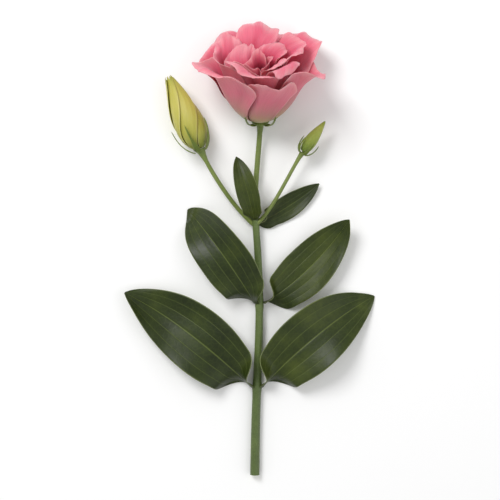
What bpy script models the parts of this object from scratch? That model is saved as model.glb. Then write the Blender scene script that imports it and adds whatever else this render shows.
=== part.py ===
"""A cut stem of double lisianthus (Eustoma grandiflorum), lying on a surface as it was picked.

The stem runs along +Y from its cut end to the open bloom, and +Z is up from the surface.
Every length in this file is in millimetres until a mesh is made, and every angle is in degrees.

A bloom or bud is made of whorls. A petal is a sheet that follows its whorl's profile, a curve of
radius and height about the bloom's axis. Across the petal, u runs from -1, the edge tucked under
the neighbour, to +1, the edge that lies over it. Along the petal, v runs from 0 at its claw to 1.
"""
import math
from collections import namedtuple

import bmesh
import bpy
import numpy as np
from mathutils import Matrix, Vector

MM = 0.001

# ---- Driving dimensions -------------------------------------------------------------------
PETAL_THICK = 0.5          # bloom and bud petals
LOBE_THICK = 0.6           # narrow lobes of the calyx
LEAF_THICK = 0.7
SEAT = 0.35                # clearance between a piece and what carries it

STEM_CUT_RADIUS = 2.6      # main stem, at the cut end
STEM_FORK_RADIUS = 2.0     # main stem, at the fork
STALK_RADIUS = 1.5         # flower stalk
BUD_STALK_RADIUS = 1.2
FORK_Y = 150.0             # height of the fork along the stem
STEM_Z = 2.9               # centre line of the cut end above the surface
FORK_Z = 5.2
LOWER_NODE_Y = 50.0
MIDDLE_NODE_Y = 98.0

BLOOM_Y = 203.0            # foot of the open bloom
BLOOM_X = 3.0
BLOOM_SCALE = 1.08         # size of the open bloom against its whorls' own numbers
BLOOM_NOD = 55.0           # the bloom's axis leans this far from upright, towards +Y
BUD_FOOT = (-31.0, 186.0)
BUD_HEADING = -24.0        # from +Y, positive towards +X
BUD_RISE = 3.0             # above the surface's plane
SMALL_BUD_FOOT = (27.0, 184.0, 10.0)
SMALL_BUD_HEADING = 36.0
SMALL_BUD_RISE = 10.0

FACING = math.radians(270)  # the side of the bloom that faces up once the bloom has nodded

# ---- Colours, as sRGB ---------------------------------------------------------------------
PINK = (0.86, 0.48, 0.56)
DEEP_PINK = (0.80, 0.36, 0.46)
BLUSH = (0.90, 0.62, 0.62)
BUD_GREEN = (0.72, 0.70, 0.34)
YOUNG_GREEN = (0.56, 0.58, 0.22)
CALYX_GREEN = (0.36, 0.44, 0.18)
STEM_GREEN = (0.32, 0.42, 0.20)
LEAF_GREEN = (0.30, 0.37, 0.22)
CREAM = (0.86, 0.82, 0.52)


def smooth(low, high, x):
    """0 below low, 1 above high, and an even S curve between them."""
    t = np.clip((x - low) / (high - low), 0.0, 1.0)
    return t * t * (3.0 - 2.0 * t)


def profile(length, foot, slopes, samples=200):
    """A curve of one length from its foot (radius, height), whose slope above the horizontal
    passes through even knots. Returns radius, height and slope in radians at even steps."""
    s = np.linspace(0.0, 1.0, samples)
    slope = np.radians(np.interp(s, np.linspace(0.0, 1.0, len(slopes)), slopes))
    slope = np.convolve(np.pad(slope, 12, mode='edge'), np.ones(25) / 25, mode='valid')
    step = length / (samples - 1)
    across, up = np.cos(slope), np.sin(slope)
    radius = foot[0] + np.concatenate([[0.0], np.cumsum((across[1:] + across[:-1]) / 2 * step)])
    height = foot[1] + np.concatenate([[0.0], np.cumsum((up[1:] + up[:-1]) / 2 * step)])
    return radius, height, slope


# half and claw are half widths in degrees about the axis, at the blade and at the foot.
# back and front are the slopes of the profile on the open side and on the side facing up.
# tilt lifts one edge over the neighbour, roll turns the rim out, short trims the front petal.
# taper shortens a petal's sides against its middle.
Whorl = namedtuple(
    'Whorl', 'count first half claw length foot back front tilt ruffle phase roll short taper',
    defaults=(1.2, 0.0, 0.0, 0.0, 1.0, 0.26))

BLOOM = {
    'guard_petal': Whorl(5, -90, 54, 33, 47, (5.3, 0.8), (11, 46, 64, 62, 32, -14),
                         (22, 68, 80, 74, 44, -18), 1.35, 0.5, 0.4, 1.3, 0.80, 0.27),
    'second_petal': Whorl(5, -128, 48, 32, 45, (4.9, 2.2), (32, 72, 80, 76, 52, 14),
                          (38, 76, 86, 82, 54, -64), 1.45, 0.4, 2.4, 0.9),
    'third_petal': Whorl(4, 20, 58, 40, 37, (4.4, 3.7), (44, 81, 88, 85, 70, 40),
                         (50, 83, 91, 91, 74, 0), 1.3, 0.3, 1.4, 0.8),
    'fourth_petal': Whorl(3, 70, 80, 53, 33, (3.6, 5.2), (57, 85, 95, 96, 87, 58),
                          (61, 89, 99, 98, 85, 36), 1.15, 0.2, 0.4, 0.8),
    'heart_petal': Whorl(3, 10, 78, 48, 20, (2.6, 6.6), (64, 93, 102, 99, 92, 78),
                         (66, 95, 103, 100, 92, 76), 0.8, 0.1, 2.4, 0.2),
}
CALYX = Whorl(5, -54, 2.5, 15, 13, (5.75, -0.9), (-3, 26, 50, 58), (6, 38, 62, 72), 0.0)
BUD_SLOPES = (38, 66, 86, 97, 103, 106, 107, 104)
BUD = Whorl(5, 12, 45, 33, 47, (2.5, 0.5), BUD_SLOPES, BUD_SLOPES, 0.75, taper=0.03)
BUD_CALYX = Whorl(5, 40, 3, 17, 19, (3.6, -1.3), (34, 60, 78, 88), (34, 60, 78, 88), 0.0)
BUD_TWIST = 2.4            # degrees of turn for each millimetre along the bud
SMALL_BUD_CALYX = Whorl(5, 10, 4, 20, 10, (2.2, -0.6), (30, 62, 84, 96), (30, 62, 84, 96), 0.0)


def petal_sheet(whorl, index, u, v):
    """Points of one petal in the bloom's frame, axis +Z, for arrays u in -1..1 and v in 0..1."""
    seed = whorl.count * 7 + index * 3
    centre = math.radians(whorl.first + 360.0 / whorl.count * index)
    outline = 1 - whorl.taper * np.abs(u) ** 2.8
    outline = outline + 0.014 * np.sin(6.1 * u + seed) + 0.010 * np.sin(11.3 * u + 2 * seed)
    outline = outline + 0.03 * np.exp(-((u - 0.1 * math.sin(seed)) / 0.12) ** 2)
    facing = 0.5 + 0.5 * math.cos(centre - FACING)
    reach = 0.97 * whorl.length * (1 - (1 - whorl.short) * facing ** 4)
    s = v * outline * reach
    t = s / whorl.length

    half = whorl.claw + (whorl.half - whorl.claw) * smooth(0.02, 0.60, t)
    theta = centre + np.radians(half) * u
    front = 0.5 + 0.5 * np.cos(theta - FACING)
    front = (front * front * (3 - 2 * front)) ** 4.5
    steps = np.linspace(0.0, whorl.length, 200)
    back_curve = profile(whorl.length, whorl.foot, whorl.back)
    front_curve = profile(whorl.length, whorl.foot, whorl.front)
    radius, height, slope = [np.interp(s, steps, b) * (1 - front) + np.interp(s, steps, f) * front
                             for b, f in zip(back_curve, front_curve)]

    grow = smooth(0.02, 0.42, t)
    waves = np.sin(3 * theta + whorl.phase) + 0.8 * np.sin(5 * theta + 5 * whorl.phase)
    free_edge = 0.35 + 0.65 * smooth(-0.95, -0.35, u)
    out = whorl.tilt * u * grow + whorl.ruffle * waves * smooth(0.35, 1.0, t)
    out = out + whorl.roll * smooth(0.75, 1.02, v) ** 1.5 * free_edge * grow
    radius = radius + out * np.sin(slope)
    height = height - out * np.cos(slope)
    return np.stack([radius * np.cos(theta), radius * np.sin(theta), height], -1)


def crumple(points):
    """Folds the space about the bloom's axis, so that petals that lie together bend together."""
    x, y, z = points[..., 0], points[..., 1], points[..., 2]
    radius = np.hypot(x, y) + 1e-9
    theta = np.arctan2(y, x)
    core = (1 - smooth(6, 27, radius)) * smooth(6, 26, z)
    pleats = 0.27 * np.cos(2 * theta + 0.9) + 0.40 * (np.abs(np.sin(1.5 * theta + 0.5)) - 0.62)
    pleated = radius * (1 + core * pleats)
    turned = theta + 0.8 * smooth(10, 38, z) * (1 - smooth(2, 28, radius))
    x = pleated * np.cos(turned)
    y = pleated * np.sin(turned) - 3.0 * smooth(8, 32, z) * (1 - smooth(4, 26, radius))
    grow = smooth(5, 30, z)
    rim = smooth(18, 34, radius) * smooth(12, 30, z)
    dx = 1.5 * np.sin(0.16 * y + 0.11 * z + 1.0) + 0.8 * np.sin(0.31 * y - 0.2 * x + 2.2)
    dy = 1.5 * np.sin(0.15 * x - 0.12 * z + 2.4) + 0.8 * np.sin(0.28 * x + 0.22 * y + 0.4)
    dz = 1.8 * np.sin(0.15 * x + 0.13 * y + 0.6) + 0.8 * np.sin(0.3 * x - 0.27 * y + 1.9)
    dz = dz + rim * (1.0 * np.sin(7 * theta + 0.08 * radius + 0.4) + 0.7 * np.sin(12 * theta + 2.1))
    tall = 1 + 0.15 * smooth(0, 24, y)
    return np.stack([0.95 * x + dx * grow, y + dy * grow, z * tall + dz * grow], -1)


def twirl(points):
    """Turns the space about the bud's axis, more and more towards its tip."""
    x, y, z = points[..., 0], points[..., 1], points[..., 2]
    turn = np.radians(BUD_TWIST) * z
    return np.stack([x * np.cos(turn) - y * np.sin(turn), x * np.sin(turn) + y * np.cos(turn), z], -1)


def axis_frame(heading, rise, foot, scale=1.0):
    """Matrix whose +Z leans to a heading in plan, at a rise above it, with -Y on the upper side."""
    lean = Matrix.Rotation(math.radians(-(90 - rise)), 4, 'X') @ Matrix.Scale(scale, 4)
    return Matrix.Translation(foot) @ Matrix.Rotation(math.radians(-heading), 4, 'Z') @ lean


def carry(matrix, points):
    m = np.array(matrix)
    return points @ m[:3, :3].T + m[:3, 3]


def resting(heading, rise, plan, whorls, shape, thick, scale=1.0):
    """The frame of a bloom or bud, raised until its lowest petals just touch the surface."""
    frame = axis_frame(heading, rise, (plan[0], plan[1], 0.0), scale)
    u, v = np.meshgrid(np.linspace(-1, 1, 9), np.linspace(0, 1, 10))
    lowest = min(carry(frame, shape(petal_sheet(w, i, u, v)))[..., 2].min()
                 for w in whorls for i in range(w.count))
    return Matrix.Translation((0, 0, thick / 2 - lowest)) @ frame


# ---- Leaves -------------------------------------------------------------------------------
# around is the side of the stem that carries the leaf, from +X towards +Z. heading is in plan
# from +Y, positive towards +X. lifts are slopes of the midrib, swing turns the heading along the
# leaf, twist turns the blade about its midrib from foot to tip, cup folds the two halves up.
Leaf = namedtuple('Leaf', 'y around heading length width lifts swing twist cup ripple')

LEAVES = {
    'lower_leaf_left': Leaf(LOWER_NODE_Y, 180, -44, 92, 38, (20, 12, -6, -14, 4, 16), -18,
                            (70, 8, -12), 20, 2.2),
    'lower_leaf_right': Leaf(LOWER_NODE_Y, 0, 40, 86, 36, (16, 16, 2, -14, -20, -22), 22,
                             (-70, -6, 10), 18, 1.8),
    'middle_leaf_left': Leaf(MIDDLE_NODE_Y, 150, -30, 76, 31, (34, 26, 2, -22, -40, -52), -12,
                             (50, 14, 22), 22, 1.6),
    'middle_leaf_right': Leaf(MIDDLE_NODE_Y, -30, 58, 70, 28, (4, 4, -2, 4, 18, 34), -26,
                              (-60, -10, 24), 18, 1.6),
    'upper_leaf_left': Leaf(FORK_Y - 4, 105, -12, 40, 13, (44, 26, 6, -14, -34), -8,
                            (20, 8, 0), 20, 0.5),
    'upper_leaf_right': Leaf(FORK_Y - 6, -60, 64, 42, 14, (-18, -6, 4, 10, 4), -14,
                             (-30, -8, 0), 20, 0.6),
}


def stem_at(y):
    """Centre and radius of the main stem at a place along it."""
    t = y / FORK_Y
    centre = Vector((2.2 * math.sin(math.pi * t) - 0.8 * math.sin(2 * math.pi * t), y,
                     STEM_Z + (FORK_Z - STEM_Z) * t * t))
    radius = STEM_CUT_RADIUS + (STEM_FORK_RADIUS - STEM_CUT_RADIUS) * t
    return centre, radius


def leaf_sheet(leaf, u, v):
    """Points of one leaf: a pointed oval blade along a curved midrib, held off the surface, whose
    base wraps round the stem."""
    centre, radius = stem_at(leaf.y)
    around = math.radians(leaf.around)
    off = radius + 1.3 * SEAT + LEAF_THICK / 2
    foot = (centre.x + off * math.cos(around), centre.y, centre.z + off * math.sin(around))

    steps = np.linspace(0.0, 1.0, 200)
    run, rise, slope = profile(leaf.length, (0.0, 0.0), leaf.lifts)
    heading = np.radians(leaf.heading + leaf.swing * steps)
    d_run = np.gradient(run)
    mid = np.stack([foot[0] + np.cumsum(d_run * np.sin(heading)),
                    foot[1] + np.cumsum(d_run * np.cos(heading)), foot[2] + rise], -1)

    x, y, z = [np.interp(v, steps, mid[:, k]) for k in range(3)]
    slope, heading = np.interp(v, steps, slope), np.interp(v, steps, heading)
    along = np.stack([np.sin(heading) * np.cos(slope), np.cos(heading) * np.cos(slope), np.sin(slope)], -1)
    level = np.stack([np.cos(heading), -np.sin(heading), np.zeros_like(heading)], -1)
    up = np.cross(level, along)
    turn = np.radians(np.interp(smooth(0, 0.24, v) * 0.5 + v * 0.5, (0.0, 0.5, 1.0), leaf.twist))
    side = level * np.cos(turn)[..., None] + up * np.sin(turn)[..., None]
    clasp = np.array([-math.sin(around), 0.0, math.cos(around)])
    clasp = clasp * math.copysign(1.0, clasp @ side[np.argmin(v)])
    hold = (1 - smooth(0.0, 0.17, v))[..., None]
    side = side * (1 - hold) + clasp * hold
    side = side / np.linalg.norm(side, axis=-1, keepdims=True)
    face = np.cross(side, along)
    face = face / np.linalg.norm(face, axis=-1, keepdims=True)

    blade = v ** 0.62 * (1 - v) ** 0.78 / 0.385
    base = 2.0 + 0.04 * leaf.width
    half = np.maximum(base * (1 - smooth(0, 0.25, v)) + leaf.width / 2 * blade, 0.4)
    bow = math.radians(leaf.cup) * (np.abs(u) - 0.35 * u * u)
    wave = leaf.ripple * np.sin(2 * math.pi * (1.6 * v + 0.15 * u) + leaf.heading) * u * u
    wave = wave * smooth(0.1, 0.5, v)
    wave = wave * np.minimum(1.0, half / 6.0)
    wrap = 1 - smooth(0.0, 0.14, v)
    arc = u * np.minimum(half, base) / off
    inward = np.array([-math.cos(around), 0.0, -math.sin(around)])
    across = u * half * np.cos(bow) * (1 - wrap) + off * np.sin(arc) * wrap
    lifted = (np.abs(u) * half * np.sin(bow) + wave) * (1 - wrap)
    points = np.stack([x, y, z], -1) + side * across[..., None] + face * lifted[..., None]
    points = points + inward * (off * (1 - np.cos(arc)) * wrap)[..., None]
    low = points[..., 2] - LEAF_THICK / 2 - 0.1
    points[..., 2] = LEAF_THICK / 2 + 0.1 + 0.5 * (low + np.sqrt(low * low + 1.5))
    return points


# ---- Stems --------------------------------------------------------------------------------
def hermite(start, start_run, end, end_run, count):
    """Points on a smooth path that leaves start along start_run and meets end along end_run."""
    points = []
    for k in range(count):
        t = k / (count - 1)
        a, b = 2 * t ** 3 - 3 * t ** 2 + 1, t ** 3 - 2 * t ** 2 + t
        c, d = -2 * t ** 3 + 3 * t ** 2, t ** 3 - t ** 2
        points.append(Vector(start) * a + Vector(start_run) * b + Vector(end) * c + Vector(end_run) * d)
    return points


# ---- Objects ------------------------------------------------------------------------------
def srgb(colour):
    return tuple(c / 12.92 if c <= 0.04045 else ((c + 0.055) / 1.055) ** 2.4 for c in colour) + (1.0,)


def finish(obj, collection, colour, roughness=0.55):
    collection.objects.link(obj)
    material = bpy.data.materials.new(obj.name)
    material.use_nodes = True
    shader = material.node_tree.nodes['Principled BSDF']
    shader.inputs['Base Color'].default_value = srgb(colour)
    shader.inputs['Roughness'].default_value = roughness
    shader.inputs['Metallic'].default_value = 0.0
    obj.data.materials.append(material)
    return obj


def add_sheet(collection, name, columns, rows, place, thick, colour):
    """A grid moved into shape by place(u, v), in millimetres, and thickened both ways."""
    bm = bmesh.new()
    bmesh.ops.create_grid(bm, x_segments=columns, y_segments=rows, size=1.0)
    u = np.array([vert.co.x for vert in bm.verts])
    v = np.array([vert.co.y for vert in bm.verts]) * 0.5 + 0.5
    for vert, point in zip(bm.verts, place(u, np.clip(v, 0.0, 1.0))):
        vert.co = Vector(point) * MM
    mesh = bpy.data.meshes.new(name)
    bm.to_mesh(mesh)
    bm.free()
    mesh.shade_smooth()
    obj = bpy.data.objects.new(name, mesh)
    shell = obj.modifiers.new('Thickness', 'SOLIDIFY')
    shell.thickness = thick * MM
    shell.offset = 0.0
    return finish(obj, collection, colour)


def add_whorl(collection, name, whorl, frame, shape, columns, rows, thick, colour):
    for index in range(whorl.count):
        add_sheet(collection, f'{name}_{index + 1}', columns, rows,
                  lambda u, v, i=index: carry(frame, shape(petal_sheet(whorl, i, u, v))), thick, colour)


def add_tube(collection, name, points, radii, colour):
    """A stem along points, in millimetres, with a radius at each point and closed ends."""
    curve = bpy.data.curves.new(name, 'CURVE')
    curve.dimensions = '3D'
    curve.bevel_depth = MM
    curve.bevel_resolution = 2
    curve.use_fill_caps = True
    spline = curve.splines.new('POLY')
    spline.points.add(len(points) - 1)
    for knot, point, radius in zip(spline.points, points, radii):
        knot.co = (*(Vector(point) * MM), 1.0)
        knot.radius = radius
    return finish(bpy.data.objects.new(name, curve), collection, colour)


def add_turned(collection, name, outline, frame, colour, steps=14):
    """A solid of revolution about the frame's +Z, from radii and heights that start and end on it."""
    mesh = bpy.data.meshes.new(name)
    points = [(r * MM, 0.0, h * MM) for r, h in outline]
    mesh.from_pydata(points, [(k, k + 1) for k in range(len(points) - 1)], [])
    obj = bpy.data.objects.new(name, mesh)
    obj.matrix_world = Matrix.Translation(frame.translation * MM) @ frame.to_3x3().to_4x4()
    screw = obj.modifiers.new('Turn', 'SCREW')
    screw.axis = 'Z'
    screw.angle = math.tau
    screw.steps = screw.render_steps = steps
    screw.use_merge_vertices = True
    screw.merge_threshold = 0.00001
    screw.use_smooth_shade = True
    return finish(obj, collection, colour)


def unchanged(points):
    return points


def build():
    for obj in list(bpy.data.objects):
        bpy.data.objects.remove(obj)
    collection = bpy.data.collections.new('Lisianthus')
    bpy.context.scene.collection.children.link(collection)

    # The open bloom.
    bloom = resting(0.0, 90 - BLOOM_NOD, (BLOOM_X, BLOOM_Y),
                    [BLOOM['guard_petal'], BLOOM['second_petal'], CALYX], crumple, LOBE_THICK, BLOOM_SCALE)
    tints = {'guard_petal': BLUSH, 'second_petal': PINK, 'third_petal': PINK,
             'fourth_petal': DEEP_PINK, 'heart_petal': DEEP_PINK}
    for name, whorl in BLOOM.items():
        add_whorl(collection, name, whorl, bloom, crumple, 8, 9, PETAL_THICK, tints[name])
    add_whorl(collection, 'calyx_lobe', CALYX, bloom, crumple, 2, 5, LOBE_THICK, CALYX_GREEN)
    add_turned(collection, 'receptacle',
               [(0.0, 7.4), (1.5, 7.2), (2.0, 6.2), (2.9, 4.9), (3.7, 3.4), (4.2, 2.0), (4.6, 0.7),
                (4.9, -0.6), (4.3, -1.7), (2.4, -2.6), (0.0, -2.8)], bloom, CALYX_GREEN, 16)
    axis = [(0.0, 0.0, h) for h in (7.8, 8.6, 10.5, 12.5, 14.5, 17.0, 19.0, 20.0, 21.0, 21.6)]
    add_tube(collection, 'pistil', carry(bloom, crumple(np.array(axis))),
             (0.4, 0.8, 0.85, 0.75, 0.45, 0.35, 0.35, 0.6, 0.65, 0.3), CREAM)
    for k in range(5):
        turn = math.radians(72 * k + 20)
        knots = [(r * math.cos(turn), r * math.sin(turn), h)
                 for r, h in ((1.35, 7.7), (1.45, 9.5), (1.45, 11.5), (1.35, 13.0), (1.25, 14.2))]
        add_tube(collection, f'stamen_{k + 1}', carry(bloom, crumple(np.array(knots))),
                 (0.22, 0.22, 0.22, 0.26, 0.34), CREAM)

    # The large bud, lying on the surface, and the small one beside the bloom.
    bud = resting(BUD_HEADING, BUD_RISE, BUD_FOOT, [BUD, BUD_CALYX], twirl, LOBE_THICK)
    add_whorl(collection, 'bud_petal', BUD, bud, twirl, 6, 10, PETAL_THICK, BUD_GREEN)
    add_whorl(collection, 'bud_lobe', BUD_CALYX, bud, unchanged, 2, 5, LOBE_THICK, CALYX_GREEN)
    small = axis_frame(SMALL_BUD_HEADING, SMALL_BUD_RISE, SMALL_BUD_FOOT)
    add_turned(collection, 'small_bud',
               [(0.0, 22.0), (0.7, 21.0), (1.5, 18.5), (2.6, 14.5), (3.5, 10.0), (3.6, 6.5), (2.9, 3.0),
                (1.9, 1.0), (0.0, 0.4)], small, YOUNG_GREEN, 12)
    add_whorl(collection, 'small_bud_lobe', SMALL_BUD_CALYX, small, unchanged, 2, 4, LOBE_THICK,
              CALYX_GREEN)

    # Stems: one main stem to the fork, then a stalk to each flower.
    count = 16
    places = [stem_at(FORK_Y * k / (count - 1)) for k in range(count)]
    add_tube(collection, 'main_stem', [c for c, r in places], [r for c, r in places], STEM_GREEN)
    fork, fork_radius = stem_at(FORK_Y)

    def stalk(name, start, start_run, frame, foot_z, run, radius, foot_radius, count):
        foot = frame @ Vector((0, 0, foot_z))
        axis = frame.to_3x3() @ Vector((0, 0, 1))
        points = hermite(start, start_run, foot, axis * run, count)
        radii = [radius] * (count - 2) + [radius + 0.4 * (foot_radius - radius), foot_radius]
        add_tube(collection, name, points, radii, STEM_GREEN)

    stalk('flower_stalk', fork + Vector((0, SEAT, 0)), (0, 55, 0), bloom, -2.8 - SEAT, 27,
          STALK_RADIUS, 2.3, 14)
    left = Vector((-(fork_radius + SEAT + 0.9 * BUD_STALK_RADIUS), -4.0, -0.6))
    stalk('large_bud_stalk', fork + left, (-30, 26, 4), bud, -SEAT, 38, BUD_STALK_RADIUS, 2.85, 12)
    right = Vector((fork_radius + SEAT + 0.9 * BUD_STALK_RADIUS, -4.0, 0.8))
    stalk('small_bud_stalk', fork + right, (24, 24, 6), small, -SEAT + 0.2, 26,
          BUD_STALK_RADIUS * 0.85, 1.6, 10)

    for name, leaf in LEAVES.items():
        big = leaf.length > 50
        add_sheet(collection, name, 6 if big else 4, 11 if big else 8,
                  lambda u, v, piece=leaf: leaf_sheet(piece, u, v), LEAF_THICK, LEAF_GREEN)

    centre_on_surface(collection)


def centre_on_surface(collection):
    """Hangs every piece on one empty, placed so that the stem's box is centred over the origin
    and its lowest point is at Z = 0."""
    bpy.context.view_layer.update()
    depsgraph = bpy.context.evaluated_depsgraph_get()
    corners = []
    for obj in collection.objects:
        mesh = obj.evaluated_get(depsgraph).to_mesh()
        corners += [obj.matrix_world @ vert.co for vert in mesh.vertices]
    low = [min(c[k] for c in corners) for k in range(3)]
    high = [max(c[k] for c in corners) for k in range(3)]
    root = bpy.data.objects.new('Lisianthus', None)
    pieces = list(collection.objects)
    collection.objects.link(root)
    for obj in pieces:
        obj.parent = root
    root.location = (-(low[0] + high[0]) / 2, -(low[1] + high[1]) / 2, -low[2])


build()
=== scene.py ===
"""The looks of a cut lisianthus stem lying on a pale floor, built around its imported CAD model.

Lengths are in millimetres until a mesh is made, and angles in degrees. The stem's own frame has
its cut end at the origin, +Y towards the open bloom and +Z up. One shift, read from the packed
main stem, carries it into the CAD frame. The floor, the lights and the camera are in metres.
"""

import math
from collections import namedtuple

import bmesh
import bpy
import numpy as np
from mathutils import Matrix, Vector


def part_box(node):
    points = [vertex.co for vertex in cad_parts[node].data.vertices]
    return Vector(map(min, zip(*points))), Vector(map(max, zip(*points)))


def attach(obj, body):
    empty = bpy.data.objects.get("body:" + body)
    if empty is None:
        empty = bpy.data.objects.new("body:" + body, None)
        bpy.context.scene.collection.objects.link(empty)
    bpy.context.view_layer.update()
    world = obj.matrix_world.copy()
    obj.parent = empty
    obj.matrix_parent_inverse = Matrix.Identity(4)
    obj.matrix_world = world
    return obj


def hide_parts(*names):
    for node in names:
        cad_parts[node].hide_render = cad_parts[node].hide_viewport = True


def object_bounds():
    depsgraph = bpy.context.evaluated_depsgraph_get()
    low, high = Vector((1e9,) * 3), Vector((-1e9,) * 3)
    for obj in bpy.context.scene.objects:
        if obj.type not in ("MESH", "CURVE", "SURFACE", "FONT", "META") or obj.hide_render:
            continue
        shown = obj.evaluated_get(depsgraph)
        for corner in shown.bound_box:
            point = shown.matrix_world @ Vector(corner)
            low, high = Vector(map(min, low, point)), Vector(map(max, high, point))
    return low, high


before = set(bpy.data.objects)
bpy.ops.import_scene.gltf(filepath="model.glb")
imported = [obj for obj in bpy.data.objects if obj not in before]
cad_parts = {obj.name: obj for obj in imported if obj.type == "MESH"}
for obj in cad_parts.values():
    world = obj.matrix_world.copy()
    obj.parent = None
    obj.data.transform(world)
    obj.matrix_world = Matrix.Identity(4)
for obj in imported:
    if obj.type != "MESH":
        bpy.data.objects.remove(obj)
cad_low, cad_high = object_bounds()

MM = 0.001

# ---- The stem's driving dimensions, as in the CAD model -------------------------------------
SEAT = 0.35
LEAF_THICK = 0.7
LOBE_THICK = 0.6
STEM_CUT_RADIUS, STEM_FORK_RADIUS = 2.6, 2.0
STALK_RADIUS, BUD_STALK_RADIUS = 1.5, 1.2
FORK_Y, STEM_Z, FORK_Z = 150.0, 2.9, 5.2
LOWER_NODE_Y, MIDDLE_NODE_Y = 50.0, 98.0
BLOOM_X, BLOOM_Y, BLOOM_SCALE, BLOOM_NOD = 3.0, 203.0, 1.08, 55.0
BUD_FOOT, BUD_HEADING, BUD_RISE = (-31.0, 186.0), -24.0, 3.0
SMALL_BUD_FOOT, SMALL_BUD_HEADING, SMALL_BUD_RISE = (27.0, 184.0, 10.0), 36.0, 10.0
BUD_TWIST = 2.4
FACING = math.radians(270)          # the side of a bloom's own frame that faces up

# ---- What the eye sees beyond the CAD solids --------------------------------------------------
PETAL_SHEET, BUD_SHEET, LEAF_SHEET, LOBE_SHEET = 0.34, 0.4, 0.5, 0.5        # thicknesses
PETAL_GRID, BUD_GRID, LOBE_GRID = (44, 52), (30, 60), (10, 30)      # faces across and along
LEAF_GRID, SMALL_LEAF_GRID = (40, 96), (24, 60)
LEAF_GROOVE, SMALL_LEAF_GROOVE = 0.28, 0.15     # depth of the midrib's groove
LEAF_SEAT = 0.8 * SEAT              # a leaf's foot lies a little closer to the stem here
LEAF_CLEAR = 0.1                    # least height of a leaf's underside above the surface
ROOT, BUD_ROOT = 1.5, 4.2           # how far a stalk's skin runs back into the stem


def smooth(low, high, x):
    """0 below low, 1 above high, and an even S curve between them."""
    t = np.clip((x - low) / (high - low), 0.0, 1.0)
    return t * t * (3.0 - 2.0 * t)


def profile(length, foot, slopes, samples=200):
    """A curve of one length from its foot (radius, height), whose slope above the horizontal
    passes through even knots. Returns radius, height and slope in radians at even steps."""
    s = np.linspace(0.0, 1.0, samples)
    slope = np.radians(np.interp(s, np.linspace(0.0, 1.0, len(slopes)), slopes))
    slope = np.convolve(np.pad(slope, 12, mode='edge'), np.ones(25) / 25, mode='valid')
    step = length / (samples - 1)
    across, up = np.cos(slope), np.sin(slope)
    radius = foot[0] + np.concatenate([[0.0], np.cumsum((across[1:] + across[:-1]) / 2 * step)])
    height = foot[1] + np.concatenate([[0.0], np.cumsum((up[1:] + up[:-1]) / 2 * step)])
    return radius, height, slope


# ---- Petals -----------------------------------------------------------------------------------
# A petal is a sheet: u runs across it from -1, tucked under, to +1, lying over, and v along it.
# half and claw are half widths in degrees about the axis, at the blade and at the foot.
# back and front are the slopes of the profile on the open side and on the side facing up.
# tilt lifts one edge over the neighbour, roll turns the rim out, short trims the front petal.
# taper shortens a petal's sides against its middle.
Whorl = namedtuple(
    'Whorl', 'count first half claw length foot back front tilt ruffle phase roll short taper',
    defaults=(1.2, 0.0, 0.0, 0.0, 1.0, 0.26))

BLOOM = {
    'guard_petal': Whorl(5, -90, 54, 33, 47, (5.3, 0.8), (11, 46, 64, 62, 32, -14),
                         (22, 68, 80, 74, 44, -18), 1.35, 0.5, 0.4, 1.3, 0.80, 0.27),
    'second_petal': Whorl(5, -128, 48, 32, 45, (4.9, 2.2), (32, 72, 80, 76, 52, 14),
                          (38, 76, 86, 82, 54, -64), 1.45, 0.4, 2.4, 0.9),
    'third_petal': Whorl(4, 20, 58, 40, 37, (4.4, 3.7), (44, 81, 88, 85, 70, 40),
                         (50, 83, 91, 91, 74, 0), 1.3, 0.3, 1.4, 0.8),
    'fourth_petal': Whorl(3, 70, 80, 53, 33, (3.6, 5.2), (57, 85, 95, 96, 87, 58),
                          (61, 89, 99, 98, 85, 36), 1.15, 0.2, 0.4, 0.8),
    'heart_petal': Whorl(3, 10, 78, 48, 20, (2.6, 6.6), (64, 93, 102, 99, 92, 78),
                         (66, 95, 103, 100, 92, 76), 0.8, 0.1, 2.4, 0.2),
}
CALYX = Whorl(5, -54, 2.5, 15, 13, (5.75, -0.9), (-3, 26, 50, 58), (6, 38, 62, 72), 0.0)
BUD_SLOPES = (38, 66, 86, 97, 103, 106, 107, 104)
BUD = Whorl(5, 12, 45, 33, 47, (2.5, 0.5), BUD_SLOPES, BUD_SLOPES, 0.75, taper=0.03)
BUD_CALYX = Whorl(5, 40, 3, 17, 19, (3.6, -1.3), (34, 60, 78, 88), (34, 60, 78, 88), 0.0)
SMALL_BUD_CALYX = Whorl(5, 10, 4, 20, 10, (2.2, -0.6), (30, 62, 84, 96), (30, 62, 84, 96), 0.0)

# Fine shape that only the visual petals have, in mm: teeth and crimps of the rim, and soft flutes
# along the blade.
Fringe = namedtuple('Fringe', 'teeth crimp flute')
PLAIN = Fringe(0.0, 0.0, 0.0)
BLOOM_FRINGE = Fringe(0.22, 0.16, 0.07)
HEART_FRINGE = Fringe(0.12, 0.10, 0.05)
BUD_FRINGE = Fringe(0.05, 0.0, 0.04)


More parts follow.
